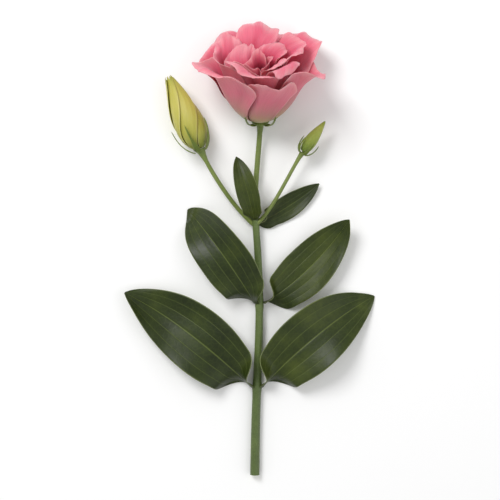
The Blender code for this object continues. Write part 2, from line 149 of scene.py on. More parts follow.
def petal_sheet(whorl, index, u, v, fringe=PLAIN):
    """Points of one petal in the bloom's frame, axis +Z, for arrays u in -1..1 and v in 0..1."""
    seed = whorl.count * 7 + index * 3
    centre = math.radians(whorl.first + 360.0 / whorl.count * index)
    outline = 1 - whorl.taper * np.abs(u) ** 2.8
    outline = outline + 0.014 * np.sin(6.1 * u + seed) + 0.010 * np.sin(11.3 * u + 2 * seed)
    outline = outline + 0.03 * np.exp(-((u - 0.1 * math.sin(seed)) / 0.12) ** 2)
    teeth = np.sin(31 * u + seed) + 0.8 * np.sin(53 * u + 2.3 * seed) + 0.6 * np.sin(83 * u + 0.7 * seed)
    outline = outline + fringe.teeth / whorl.length * 0.6 * teeth * smooth(0.7, 1.0, v)
    facing = 0.5 + 0.5 * math.cos(centre - FACING)
    reach = 0.97 * whorl.length * (1 - (1 - whorl.short) * facing ** 4)
    s = v * outline * reach
    t = s / whorl.length

    half = whorl.claw + (whorl.half - whorl.claw) * smooth(0.02, 0.60, t)
    theta = centre + np.radians(half) * u
    front = 0.5 + 0.5 * np.cos(theta - FACING)
    front = (front * front * (3 - 2 * front)) ** 4.5
    steps = np.linspace(0.0, whorl.length, 200)
    back_curve = profile(whorl.length, whorl.foot, whorl.back)
    front_curve = profile(whorl.length, whorl.foot, whorl.front)
    radius, height, slope = [np.interp(s, steps, b) * (1 - front) + np.interp(s, steps, f) * front
                             for b, f in zip(back_curve, front_curve)]

    grow = smooth(0.02, 0.42, t)
    waves = np.sin(3 * theta + whorl.phase) + 0.8 * np.sin(5 * theta + 5 * whorl.phase)
    free_edge = 0.35 + 0.65 * smooth(-0.95, -0.35, u)
    out = whorl.tilt * u * grow + whorl.ruffle * waves * smooth(0.35, 1.0, t)
    out = out + whorl.roll * smooth(0.75, 1.02, v) ** 1.5 * free_edge * grow
    crimps = (np.sin(15 * u + 1.7 * seed) + 0.7 * np.sin(27 * u + seed + 3 * v)
              + 0.4 * np.sin(47 * u + 2 * seed))
    out = out + fringe.crimp * crimps * smooth(0.80, 1.0, v) * (0.4 + 0.6 * smooth(-1.0, -0.5, u))
    flutes = np.sin(13 * u + seed + 2 * v) + 0.6 * np.sin(29 * u + 2 * seed)
    out = out + fringe.flute * flutes * smooth(0.15, 0.5, t) * (1 - 0.5 * smooth(0.8, 1.0, v))
    radius = radius + out * np.sin(slope)
    height = height - out * np.cos(slope)
    return np.stack([radius * np.cos(theta), radius * np.sin(theta), height], -1)


def crumple(points):
    """Folds the space about the bloom's axis, so that petals that lie together bend together."""
    x, y, z = points[..., 0], points[..., 1], points[..., 2]
    radius = np.hypot(x, y) + 1e-9
    theta = np.arctan2(y, x)
    core = (1 - smooth(6, 27, radius)) * smooth(6, 26, z)
    pleats = 0.27 * np.cos(2 * theta + 0.9) + 0.40 * (np.abs(np.sin(1.5 * theta + 0.5)) - 0.62)
    pleated = radius * (1 + core * pleats)
    turned = theta + 0.8 * smooth(10, 38, z) * (1 - smooth(2, 28, radius))
    x = pleated * np.cos(turned)
    y = pleated * np.sin(turned) - 3.0 * smooth(8, 32, z) * (1 - smooth(4, 26, radius))
    grow = smooth(5, 30, z)
    rim = smooth(18, 34, radius) * smooth(12, 30, z)
    dx = 1.5 * np.sin(0.16 * y + 0.11 * z + 1.0) + 0.8 * np.sin(0.31 * y - 0.2 * x + 2.2)
    dy = 1.5 * np.sin(0.15 * x - 0.12 * z + 2.4) + 0.8 * np.sin(0.28 * x + 0.22 * y + 0.4)
    dz = 1.8 * np.sin(0.15 * x + 0.13 * y + 0.6) + 0.8 * np.sin(0.3 * x - 0.27 * y + 1.9)
    dz = dz + rim * (1.0 * np.sin(7 * theta + 0.08 * radius + 0.4) + 0.7 * np.sin(12 * theta + 2.1))
    tall = 1 + 0.15 * smooth(0, 24, y)
    return np.stack([0.95 * x + dx * grow, y + dy * grow, z * tall + dz * grow], -1)


def twirl(points):
    """Turns the space about the bud's axis, more and more towards its tip."""
    x, y, z = points[..., 0], points[..., 1], points[..., 2]
    turn = np.radians(BUD_TWIST) * z
    return np.stack([x * np.cos(turn) - y * np.sin(turn), x * np.sin(turn) + y * np.cos(turn), z], -1)


def unchanged(points):
    return points


def axis_frame(heading, rise, foot, scale=1.0):
    """Matrix whose +Z leans to a heading in plan, at a rise above it, with -Y on the upper side."""
    lean = Matrix.Rotation(math.radians(-(90 - rise)), 4, 'X') @ Matrix.Scale(scale, 4)
    return Matrix.Translation(foot) @ Matrix.Rotation(math.radians(-heading), 4, 'Z') @ lean


def carry(matrix, points):
    m = np.array(matrix)
    return points @ m[:3, :3].T + m[:3, 3]


def resting(heading, rise, plan, whorls, shape, thick, scale=1.0):
    """The frame of a bloom or bud, raised until its lowest petals just touch the surface."""
    at = axis_frame(heading, rise, (plan[0], plan[1], 0.0), scale)
    u, v = np.meshgrid(np.linspace(-1, 1, 9), np.linspace(0, 1, 10))
    lowest = min(carry(at, shape(petal_sheet(w, i, u, v)))[..., 2].min()
                 for w in whorls for i in range(w.count))
    return Matrix.Translation((0, 0, thick / 2 - lowest)) @ at


# ---- Leaves -----------------------------------------------------------------------------------
# around is the side of the stem that carries the leaf, from +X towards +Z. heading is in plan
# from +Y, positive towards +X. lifts are slopes of the midrib, swing turns the heading along the
# leaf, twist turns the blade about its midrib from foot to tip, cup folds the two halves up.
Leaf = namedtuple('Leaf', 'y around heading length width lifts swing twist cup ripple')

LEAVES = {
    'lower_leaf_left': Leaf(LOWER_NODE_Y, 180, -44, 92, 38, (20, 12, -6, -14, 4, 16), -18,
                            (70, 8, -12), 20, 2.2),
    'lower_leaf_right': Leaf(LOWER_NODE_Y, 0, 40, 86, 36, (16, 16, 2, -14, -20, -22), 22,
                             (-70, -6, 10), 18, 1.8),
    'middle_leaf_left': Leaf(MIDDLE_NODE_Y, 150, -30, 76, 31, (34, 26, 2, -22, -40, -52), -12,
                             (50, 14, 22), 22, 1.6),
    'middle_leaf_right': Leaf(MIDDLE_NODE_Y, -30, 58, 70, 28, (4, 4, -2, 4, 18, 34), -26,
                              (-60, -10, 24), 18, 1.6),
    'upper_leaf_left': Leaf(FORK_Y - 4, 105, -12, 40, 13, (44, 26, 6, -14, -34), -8,
                            (20, 8, 0), 20, 0.5),
    'upper_leaf_right': Leaf(FORK_Y - 6, -60, 64, 42, 14, (-18, -6, 4, 10, 4), -14,
                             (-30, -8, 0), 20, 0.6),
}


def stem_at(y):
    """Centre and radius of the main stem at a place along it."""
    t = y / FORK_Y
    centre = Vector((2.2 * math.sin(math.pi * t) - 0.8 * math.sin(2 * math.pi * t), y,
                     STEM_Z + (FORK_Z - STEM_Z) * t * t))
    radius = STEM_CUT_RADIUS + (STEM_FORK_RADIUS - STEM_CUT_RADIUS) * t
    return centre, radius


def leaf_sheet(leaf, u, v, depth):
    """Points of one leaf: a pointed oval blade along a curved midrib, held off the surface, whose
    base wraps round the stem. depth is that of the midrib's groove on the upper face."""
    centre, radius = stem_at(leaf.y)
    around = math.radians(leaf.around)
    off = radius + LEAF_SEAT + LEAF_THICK / 2
    foot = (centre.x + off * math.cos(around), centre.y, centre.z + off * math.sin(around))

    steps = np.linspace(0.0, 1.0, 200)
    run, rise, slope = profile(leaf.length, (0.0, 0.0), leaf.lifts)
    heading = np.radians(leaf.heading + leaf.swing * steps)
    d_run = np.gradient(run)
    mid = np.stack([foot[0] + np.cumsum(d_run * np.sin(heading)),
                    foot[1] + np.cumsum(d_run * np.cos(heading)), foot[2] + rise], -1)

    x, y, z = [np.interp(v, steps, mid[:, k]) for k in range(3)]
    slope, heading = np.interp(v, steps, slope), np.interp(v, steps, heading)
    along = np.stack([np.sin(heading) * np.cos(slope), np.cos(heading) * np.cos(slope), np.sin(slope)], -1)
    level = np.stack([np.cos(heading), -np.sin(heading), np.zeros_like(heading)], -1)
    up = np.cross(level, along)
    turn = np.radians(np.interp(smooth(0, 0.24, v) * 0.5 + v * 0.5, (0.0, 0.5, 1.0), leaf.twist))
    side = level * np.cos(turn)[..., None] + up * np.sin(turn)[..., None]
    clasp = np.array([-math.sin(around), 0.0, math.cos(around)])
    clasp = clasp * math.copysign(1.0, clasp @ side[np.argmin(v)])
    hold = (1 - smooth(0.0, 0.17, v))[..., None]
    side = side * (1 - hold) + clasp * hold
    side = side / np.linalg.norm(side, axis=-1, keepdims=True)
    face = np.cross(side, along)
    face = face / np.linalg.norm(face, axis=-1, keepdims=True)

    blade = v ** 0.62 * (1 - v) ** 0.78 / 0.385
    base = 2.0 + 0.04 * leaf.width
    half = np.maximum(base * (1 - smooth(0, 0.25, v)) + leaf.width / 2 * blade, 0.4)
    bow = math.radians(leaf.cup) * (np.abs(u) - 0.35 * u * u)
    wave = leaf.ripple * np.sin(2 * math.pi * (1.6 * v + 0.15 * u) + leaf.heading) * u * u
    wave = wave * smooth(0.1, 0.5, v)
    wave = wave * np.minimum(1.0, half / 6.0)
    groove = np.exp(-(u / 0.05) ** 2) + 0.4 * np.exp(-((np.abs(u) - 0.36) / 0.045) ** 2)
    groove = groove + 0.25 * np.exp(-((np.abs(u) - 0.68) / 0.04) ** 2)
    wave = wave - depth * groove * smooth(0.0, 0.1, v) * (1 - smooth(0.85, 1.0, v))
    wrap = 1 - smooth(0.0, 0.14, v)
    arc = u * np.minimum(half, base) / off
    inward = np.array([-math.cos(around), 0.0, -math.sin(around)])
    across = u * half * np.cos(bow) * (1 - wrap) + off * np.sin(arc) * wrap
    lifted = (np.abs(u) * half * np.sin(bow) + wave) * (1 - wrap)
    points = np.stack([x, y, z], -1) + side * across[..., None] + face * lifted[..., None]
    points = points + inward * (off * (1 - np.cos(arc)) * wrap)[..., None]
    low = points[..., 2] - LEAF_THICK / 2 - LEAF_CLEAR
    points[..., 2] = LEAF_THICK / 2 + LEAF_CLEAR + 0.5 * (low + np.sqrt(low * low + 1.5))
    return points


def hermite(start, start_run, end, end_run, count):
    """Points on a smooth path that leaves start along start_run and meets end along end_run."""
    points = []
    for k in range(count):
        t = k / (count - 1)
        a, b = 2 * t ** 3 - 3 * t ** 2 + 1, t ** 3 - 2 * t ** 2 + t
        c, d = -2 * t ** 3 + 3 * t ** 2, t ** 3 - t ** 2
        points.append(Vector(start) * a + Vector(start_run) * b + Vector(end) * c + Vector(end_run) * d)
    return points


# The CAD frame's origin is under the middle of the whole stem, so the shift is read from the
# packed main stem: its cut end, its lowest side and its left side.
stem_low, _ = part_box('main_stem')
own = [stem_at(FORK_Y * k / 15) for k in range(16)]
SHIFT = Vector((stem_low.x / MM - min(c.x - r for c, r in own),
                stem_low.y / MM - min(c.y for c, r in own),
                stem_low.z / MM - min(c.z - r for c, r in own)))


# ---- Materials --------------------------------------------------------------------------------
def srgb(code):
    """A linear colour from its sRGB hex code."""
    parts = [int(code[k:k + 2], 16) / 255 for k in (1, 3, 5)]
    return tuple(c / 12.92 if c <= 0.04045 else ((c + 0.055) / 1.055) ** 2.4 for c in parts) + (1.0,)


class Paint:
    """Builds one procedural material, node by node."""

    def __init__(self, name):
        self.material = bpy.data.materials.new(name)
        self.material.use_nodes = True
        self.tree = self.material.node_tree
        self.shader = self.tree.nodes['Principled BSDF']

    def add(self, kind, **settings):
        node = self.tree.nodes.new(kind)
        for key, value in settings.items():
            setattr(node, key, value)
        return node

    def put(self, socket, value):
        if isinstance(value, bpy.types.NodeSocket):
            self.tree.links.new(value, socket)
        else:
            socket.default_value = value

    def attribute(self, name):
        return self.add('ShaderNodeAttribute', attribute_name=name).outputs['Fac']

    def math(self, operation, a, b=0.0):
        node = self.add('ShaderNodeMath', operation=operation)
        for socket, value in zip(node.inputs, (a, b)):
            self.put(socket, value)
        return node.outputs[0]

    def step(self, low, high, x):
        """0 where x is at low, 1 where it is at high, and a smooth change between."""
        node = self.add('ShaderNodeMapRange', interpolation_type='SMOOTHSTEP')
        for key, value in (('Value', x), ('From Min', low), ('From Max', high)):
            self.put(node.inputs[key], value)
        return node.outputs[0]

    def ramp(self, factor, stops):
        """A colour from (place, hex code) stops."""
        node = self.add('ShaderNodeValToRGB')
        ramp = node.color_ramp
        while len(ramp.elements) < len(stops):
            ramp.elements.new(0.5)
        for element, (place, code) in zip(ramp.elements, stops):
            element.position = place
            element.color = srgb(code)
        self.put(node.inputs[0], factor)
        return node.outputs[0]

    def mix(self, factor, a, b):
        node = self.add('ShaderNodeMix', data_type='RGBA')
        self.put(node.inputs[0], factor)
        for socket, value in ((node.inputs[6], a), (node.inputs[7], b)):
            self.put(socket, srgb(value) if isinstance(value, str) else value)
        return node.outputs[2]

    def vector(self, x, y, z=0.0):
        node = self.add('ShaderNodeCombineXYZ')
        for socket, value in zip(node.inputs, (x, y, z)):
            self.put(socket, value)
        return node.outputs[0]

    def noise(self, scale, detail=3.0, rough=0.55, where=None):
        node = self.add('ShaderNodeTexNoise')
        self.put(node.inputs['Vector'], where or self.add('ShaderNodeTexCoord').outputs['Object'])
        for key, value in (('Scale', scale), ('Detail', detail), ('Roughness', rough)):
            self.put(node.inputs[key], value)
        return node.outputs['Fac']

    def cells(self, scale):
        """Distance to the edges of small cells."""
        node = self.add('ShaderNodeTexVoronoi', feature='DISTANCE_TO_EDGE')
        self.put(node.inputs['Vector'], self.add('ShaderNodeTexCoord').outputs['Object'])
        self.put(node.inputs['Scale'], scale)
        return node.outputs['Distance']

    def bump(self, height, depth):
        """Relief of a depth in mm."""
        node = self.add('ShaderNodeBump')
        self.put(node.inputs['Height'], height)
        self.put(node.inputs['Distance'], depth * MM)
        self.put(self.shader.inputs['Normal'], node.outputs[0])

    def skin(self, colour, roughness, subsurface=0.0, tint=(1.0, 0.5, 0.4), depth=1.0, sheen=0.0,
             specular=0.5):
        """Sets the shader and returns the material. tint times depth is how many mm red, green and
        blue light pass under the skin."""
        inputs = self.shader.inputs
        self.put(inputs['Base Color'], colour)
        self.put(inputs['Roughness'], roughness)
        self.put(inputs['Specular IOR Level'], specular)
        if subsurface:
            inputs['Subsurface Weight'].default_value = subsurface
            inputs['Subsurface Radius'].default_value = tint
            inputs['Subsurface Scale'].default_value = depth * MM
        inputs['Sheen Weight'].default_value = sheen
        return self.material


def streaks(paint, across_scale, along_scale, seed=0.0):
    """Noise stretched along a petal or leaf, from its own across and along coordinates."""
    u = paint.math('MULTIPLY', paint.attribute('across'), across_scale)
    v = paint.math('MULTIPLY', paint.attribute('along'), along_scale)
    tone = paint.math('MULTIPLY', paint.attribute('tone'), 17.0)
    where = paint.vector(u, v, paint.math('ADD', tone, seed))
    return paint.noise(1.0, 4.0, 0.6, where)


def veins(paint, count, wander=0.35):
    """Thin lines that run along a petal, 1 on a vein and 0 between veins."""
    drift = paint.math('MULTIPLY', streaks(paint, 2.0, 3.0, 5.0), wander)
    u = paint.math('ADD', paint.attribute('across'), drift)
    wave = paint.math('SINE', paint.math('MULTIPLY', u, count * math.pi))
    return paint.math('POWER', paint.math('ABSOLUTE', wave), 9.0)


def petal_paint(name, stops, rim, vein_dark):
    """A petal's skin: a ramp from claw to rim, streaked along its length, with faint veins and a
    pale margin."""
    paint = Paint(name)
    along = paint.attribute('along')
    streak = streaks(paint, 9.0, 1.6)
    shifted = paint.math('ADD', along, paint.math('MULTIPLY', paint.math('SUBTRACT', streak, 0.5), 0.17))
    colour = paint.ramp(shifted, stops)
    fine = streaks(paint, 42.0, 5.0, 3.0)
    colour = paint.mix(paint.math('MULTIPLY', paint.step(0.42, 0.72, fine), 0.13), colour, vein_dark)
    line = veins(paint, 13)
    fade = paint.step(1.0, 0.55, along)
    colour = paint.mix(paint.math('MULTIPLY', paint.math('MULTIPLY', line, fade), 0.10), colour, vein_dark)
    edge = paint.math('MAXIMUM', paint.step(0.90, 1.0, along),
                      paint.step(0.93, 1.0, paint.math('ABSOLUTE', paint.attribute('across'))))
    patchy = paint.math('MULTIPLY', edge, paint.step(0.25, 0.65, streak))
    colour = paint.mix(paint.math('MULTIPLY', patchy, 0.75), colour, rim)
    relief = paint.math('ADD', paint.math('MULTIPLY', line, -0.5), fine)
    relief = paint.math('ADD', relief, paint.math('MULTIPLY', paint.noise(900.0, 2.0), 0.35))
    paint.bump(relief, 0.07)
    return paint.skin(colour, 0.5, 0.28, (1.0, 0.35, 0.35), 1.6, sheen=0.15, specular=0.3)


# The inside paint turns deep magenta from 0.10 to 0.34 along, near the claw: partly the petal's own deeper
# pink, partly painted shade for the depth of the cup.
INSIDE = petal_paint('petal_inside', ((0.0, '#a97a48'), (0.10, '#7a0622'), (0.34, '#9a0e32'),
                                      (0.60, '#c53054'), (0.84, '#da607a'), (1.0, '#e28492')),
                     '#e899a0', '#8a0c30')
OUTSIDE = petal_paint('petal_outside', ((0.0, '#a3a558'), (0.14, '#aa9468'), (0.34, '#b87c78'),
                                        (0.60, '#d47082'), (0.84, '#e2828f'), (1.0, '#e8989f')),
                      '#edabad', '#aa465c')
# The heart paints are darker copies of the petal paints: painted shade for the inner petals, which lie in
# the bloom's recessed centre.
HEART_INSIDE = petal_paint('heart_inside', ((0.0, '#8c5a30'), (0.10, '#560418'), (0.36, '#7a0a2a'),
                                            (0.62, '#a62446'), (0.86, '#c74e68'), (1.0, '#db7c88')),
                           '#e6989e', '#740824')
HEART_OUTSIDE = petal_paint('heart_outside', ((0.0, '#94803f'), (0.14, '#8f3040'), (0.36, '#a42a4a'),
                                              (0.62, '#bd4462'), (0.86, '#d2647c'), (1.0, '#e08694')),
                            '#eb9ea6', '#8c1c3c')


def bud_paint(name, stops, vein_dark):
    """A closed bud's waxy skin, yellow green with darker veins and a paler seam."""
    paint = Paint(name)
    along = paint.attribute('along')
    streak = streaks(paint, 7.0, 2.5)
    shifted = paint.math('ADD', along, paint.math('MULTIPLY', paint.math('SUBTRACT', streak, 0.5), 0.25))
    colour = paint.ramp(shifted, stops)
    line = veins(paint, 8, 0.2)
    colour = paint.mix(paint.math('MULTIPLY', line, 0.20), colour, vein_dark)
    fine = streaks(paint, 30.0, 6.0, 2.0)
    colour = paint.mix(paint.math('MULTIPLY', paint.step(0.45, 0.75, fine), 0.16), colour, vein_dark)
    edge = paint.step(0.86, 1.0, paint.math('ABSOLUTE', paint.attribute('across')))
    colour = paint.mix(paint.math('MULTIPLY', edge, 0.55), colour, '#dcd894')
    relief = paint.math('ADD', paint.math('MULTIPLY', line, 0.6), paint.math('MULTIPLY', fine, 0.5))
    paint.bump(relief, 0.09)
    return paint.skin(colour, 0.42, 0.22, (0.8, 0.9, 0.25), 1.6, specular=0.4)


BUD_SKIN = bud_paint('bud_skin', ((0.0, '#88943c'), (0.25, '#aca94a'), (0.6, '#c0b85a'),
                                  (0.88, '#bab24a'), (1.0, '#a3a23c')), '#868a2e')
YOUNG_SKIN = bud_paint('young_skin', ((0.0, '#6f8636'), (0.4, '#8f9c3c'), (0.8, '#a5aa49'),
                                      (1.0, '#7d8c35')), '#5f7228')


def leaf_paint(name, low, mid, high, vein, vein_mix):
    """A leaf's skin: mottled grey green, long parallel veins, a fine net and a thin pale margin."""
    paint = Paint(name)
    mottle = paint.noise(38.0, 5.0, 0.6)
    colour = paint.ramp(mottle, ((0.28, low), (0.50, mid), (0.74, high)))
    streak = streaks(paint, 14.0, 3.0)
    colour = paint.mix(paint.math('MULTIPLY', paint.step(0.4, 0.8, streak), 0.35), colour, low)
    width = paint.math('ABSOLUTE', paint.attribute('across'))
    line = paint.step(0.035, 0.008, width)
    for place, strength in ((0.36, 0.6), (0.68, 0.45)):
        near = paint.math('ABSOLUTE', paint.math('SUBTRACT', width, place))
        line = paint.math('MAXIMUM', line, paint.math('MULTIPLY', paint.step(0.022, 0.004, near), strength))
    colour = paint.mix(paint.math('MULTIPLY', line, vein_mix), colour, vein)
    net = paint.step(0.10, 0.0, paint.cells(330.0))
    colour = paint.mix(paint.math('MULTIPLY', net, 0.05), colour, vein)
    margin = paint.step(0.965, 1.0, width)
    colour = paint.mix(paint.math('MULTIPLY', margin, 0.6), colour, '#8b9560')
    relief = paint.math('SUBTRACT', paint.noise(240.0, 4.0), paint.math('MULTIPLY', net, 0.12))
    relief = paint.math('SUBTRACT', relief, paint.math('MULTIPLY', line, 0.8))
    paint.bump(relief, 0.14)
    rough = paint.math('ADD', paint.math('MULTIPLY', mottle, 0.3), 0.26)
    return paint.skin(colour, rough, 0.05, (0.5, 0.8, 0.2), specular=0.3)


LEAF_TOP = leaf_paint('leaf_top', '#192306', '#29350a', '#434e15', '#687536', 0.5)
LEAF_UNDER = leaf_paint('leaf_under', '#646c4c', '#78805e', '#8b9172', '#9da281', 0.6)
CALYX_SKIN = leaf_paint('calyx_skin', '#4f5f22', '#66762e', '#7f8c3e', '#9aa560', 0.5)


def stem_paint(name, low, mid, high):
    """A stem's skin, streaked along its length."""
    paint = Paint(name)
    around = paint.math('MULTIPLY', paint.attribute('across'), 11.0)
    where = paint.vector(around, paint.math('MULTIPLY', paint.attribute('along'), 14.0))
    streak = paint.noise(1.0, 4.0, 0.6, where)
    patch = paint.noise(60.0, 3.0)
    tone = paint.math('ADD', paint.math('MULTIPLY', streak, 0.6), paint.math('MULTIPLY', patch, 0.4))
    colour = paint.ramp(tone, ((0.30, low), (0.50, mid), (0.72, high)))
    paint.bump(paint.math('ADD', streak, paint.math('MULTIPLY', paint.noise(700.0, 3.0), 0.3)), 0.15)
    return paint.skin(colour, 0.42, 0.08, (0.6, 0.9, 0.3), specular=0.45)


STEM_SKIN = stem_paint('stem_skin', '#3d4c22', '#536431', '#6f8044')
STALK_SKIN = stem_paint('stalk_skin', '#4f5f27', '#6a7a36', '#88954c')


def soft_paint(name, grain, detail, stops, subsurface, tint):
    """Moist flesh of one tone, finely mottled."""
    paint = Paint(name)
    return paint.skin(paint.ramp(paint.noise(grain, detail), stops), 0.6, subsurface, tint)


CUT_FACE = soft_paint('stem_cut', 420.0, 4.0, ((0.3, '#a9b277'), (0.6, '#ccd1a0'), (0.8, '#dfe0bd')),
                      0.2, (0.7, 0.9, 0.4))
CREAM_SKIN = soft_paint('anther', 500.0, 3.0, ((0.3, '#c9b45a'), (0.7, '#e9dfa4')),
                        0.15, (0.9, 0.8, 0.4))


# ---- Pieces -----------------------------------------------------------------------------------
def settle(piece, node, materials):
    """Gives a finished piece its materials and its place in the frame."""
    bpy.context.scene.collection.objects.link(piece)
    for material in materials:
        piece.data.materials.append(material)
    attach(piece, 'root')
    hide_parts(node)
    return piece


def smooth_mesh(name, bm, across, along, tone=0.0):
    """The mesh of bm, smooth shaded. Each point keeps its place across and along its piece for the
    paints, and tone sets the piece apart from its neighbours."""
    mesh = bpy.data.meshes.new(name)
    bm.to_mesh(mesh)
    bm.free()
    mesh.shade_smooth()
    for key, values in (('across', across), ('along', along), ('tone', np.full(len(across), tone))):
        layer = mesh.attributes.new(key, 'FLOAT', 'POINT')
        layer.data.foreach_set('value', np.asarray(values, np.float32))
    return mesh


def add_sheet(name, node, grid, place, thick, materials, tone, rim=0.35):
    """A fine grid moved into shape by place(u, v) and made thick, down to a share of that at its
    rim. The face on the side of u x v has the first material and the other has the second."""
    bm = bmesh.new()
    bmesh.ops.create_grid(bm, x_segments=grid[0], y_segments=grid[1], size=1.0)
    u = np.array([vert.co.x for vert in bm.verts])
    v = np.clip(np.array([vert.co.y for vert in bm.verts]) * 0.5 + 0.5, 0.0, 1.0)
    for vert, point in zip(bm.verts, place(u, v)):
        vert.co = (Vector(point) + SHIFT) * MM
    piece = bpy.data.objects.new(name, smooth_mesh(name, bm, u, v, tone))
    body = piece.vertex_groups.new(name='body')
    margin = np.minimum(1 - np.abs(u), 1 - v)
    for index, weight in enumerate(smooth(0.0, 0.10, margin)):
        body.add([index], float(weight), 'REPLACE')
    shell = piece.modifiers.new('Thickness', 'SOLIDIFY')
    shell.thickness = thick * MM
    shell.offset = 0.0
    shell.material_offset = 1
    shell.vertex_group = 'body'
    shell.thickness_vertex_group = rim
    return settle(piece, node, materials)


def add_whorl(node, whorl, at, shape, grid, thick, materials, fringe=PLAIN):
    for index in range(whorl.count):
        tone = (index * 0.37 + whorl.count * 0.11 + whorl.first * 0.013) % 1.0
        add_sheet(f'{node}_{index + 1}_skin', f'{node}_{index + 1}', grid,
                  lambda u, v: carry(at, shape(petal_sheet(whorl, index, u, v, fringe))),
                  thick, materials, tone)


def add_tube(name, node, points, radii, materials, sides=20, ridges=0.0, finer=6):
    """A stem through points: rings of sides corners, faintly ridged, closed by a cap at each end."""
    count = (len(points) - 1) * finer + 1
    knots = np.array([list(p) for p in points])
    t = np.linspace(0, len(points) - 1, count)
    path = np.stack([spline_values(knots[:, k], t) for k in range(3)], -1)
    size = np.interp(t, np.arange(len(points)), radii)
    tangent = np.gradient(path, axis=0)
    tangent /= np.linalg.norm(tangent, axis=1, keepdims=True)
    side = np.cross(tangent, (0.0, 0.0, 1.0))
    side /= np.linalg.norm(side, axis=1, keepdims=True)
    up = np.cross(side, tangent)
    turn = np.linspace(0, math.tau, sides, endpoint=False)
    bm = bmesh.new()
    rings, around, along = [], [], []
    for k in range(count):
        ring = []
        for j, angle in enumerate(turn):
            r = size[k] * (1 + ridges * math.cos(4 * angle + 0.02 * k))
            point = path[k] + side[k] * (r * math.cos(angle)) + up[k] * (r * math.sin(angle))
            ring.append(bm.verts.new((Vector(point) + SHIFT) * MM))
            around.append(abs(2.0 * j / sides - 1.0) * 2 - 1)
            along.append(k / (count - 1) * len(points) * 0.25)
        rings.append(ring)
    for a, b in zip(rings, rings[1:]):
        for j in range(sides):
            bm.faces.new((a[j], b[j], b[(j + 1) % sides], a[(j + 1) % sides]))
    first = bm.faces.new(rings[0])
    last = bm.faces.new(list(reversed(rings[-1])))
    first.material_index = last.material_index = len(materials) - 1
    bmesh.ops.recalc_face_normals(bm, faces=bm.faces)
    mesh = smooth_mesh(name, bm, around, along)
    mesh.set_sharp_from_angle(angle=math.radians(50))
    return settle(bpy.data.objects.new(name, mesh), node, materials)


def spline_values(values, t):
    """Catmull-Rom values through even knots."""
    padded = np.concatenate([[2 * values[0] - values[1]], values, [2 * values[-1] - values[-2]]])
    k = np.clip(t.astype(int), 0, len(values) - 2)
    f = t - k
    a, b, c, d = padded[k], padded[k + 1], padded[k + 2], padded[k + 3]
    return 0.5 * (2 * b + (c - a) * f + (2 * a - 5 * b + 4 * c - d) * f ** 2
                  + (3 * b - a - 3 * c + d) * f ** 3)


def add_turned(name, node, outline, at, materials, steps=48, twist=0.0, depth=0.0):
    """A solid of revolution about the frame's +Z from (radius, height) knots, with five spiral
    seams. They make twist turns per mm of height, and depth is a share of the radius."""
    knots = np.array(outline, float)
    t = np.linspace(0, len(outline) - 1, (len(outline) - 1) * 6 + 1)
    radius = np.maximum(spline_values(knots[:, 0], t), 0.0)
    height = spline_values(knots[:, 1], t)
    bm = bmesh.new()
    rings, around, along = [], [], []
    for k, (r, h) in enumerate(zip(radius, height)):
        closed = k in (0, len(t) - 1)
        ring = []
        for j in range(1 if closed else steps):
            angle = math.tau * j / steps
            spiral = (angle / math.tau * 5 + twist * h) % 1.0
            out = 0.0 if closed else r * (1 + depth * (spiral - 0.5))
            point = at @ Vector((out * math.cos(angle), out * math.sin(angle), h))
            ring.append(bm.verts.new((point + SHIFT) * MM))
            around.append(2 * spiral - 1)
            along.append((h - height.min()) / (height.max() - height.min()))
        rings.append(ring)
    for a, b in zip(rings, rings[1:]):
        for j in range(steps):
            i = (j + 1) % steps
            if len(a) == 1:
                bm.faces.new((a[0], b[j], b[i]))
            elif len(b) == 1:
                bm.faces.new((a[j], b[0], a[i]))
            else:
                bm.faces.new((a[j], b[j], b[i], a[i]))
    bmesh.ops.recalc_face_normals(bm, faces=bm.faces)
    mesh = smooth_mesh(name, bm, around, along)
    return settle(bpy.data.objects.new(name, mesh), node, materials)


# ---- The open bloom ---------------------------------------------------------------------------
bloom = resting(0.0, 90 - BLOOM_NOD, (BLOOM_X, BLOOM_Y),
                [BLOOM['guard_petal'], BLOOM['second_petal'], CALYX], crumple, LOBE_THICK, BLOOM_SCALE)
PINK = ((OUTSIDE, INSIDE), BLOOM_FRINGE)
# The fourth and heart whorls take the darker heart paints, which carry painted shade for the bloom's
# recessed centre.
SHADED_HEART = ((HEART_OUTSIDE, HEART_INSIDE), HEART_FRINGE)
LOOKS = {'guard_petal': ('outer_petal', PINK), 'second_petal': ('inner_petal', PINK),
         'third_petal': ('inner_petal', PINK), 'fourth_petal': ('heart_petal', SHADED_HEART),
         'heart_petal': ('heart_petal', SHADED_HEART)}
for node, whorl in BLOOM.items():
    slot, (materials, fringe) = LOOKS[node]
    add_whorl(node, whorl, bloom, crumple, PETAL_GRID, PETAL_SHEET, materials, fringe)
GREEN = (CALYX_SKIN, CALYX_SKIN)
add_whorl('calyx_lobe', CALYX, bloom, crumple, LOBE_GRID, LOBE_SHEET, GREEN)
add_turned('receptacle_skin', 'receptacle',
           [(0.0, 7.4), (1.5, 7.2), (2.0, 6.2), (2.9, 4.9), (3.7, 3.4), (4.2, 2.0), (4.6, 0.7),
            (4.9, -0.6), (4.3, -1.9), (2.6, -2.95), (0.0, -3.1)], bloom, (CALYX_SKIN,))
axis = [(0.0, 0.0, h) for h in (7.8, 8.6, 10.5, 12.5, 14.5, 17.0, 19.0, 20.0, 21.0, 21.6)]
add_tube('pistil_skin', 'pistil', carry(bloom, crumple(np.array(axis))),
         (0.4, 0.8, 0.85, 0.75, 0.45, 0.35, 0.35, 0.6, 0.65, 0.3), (CREAM_SKIN,), sides=12, finer=3)
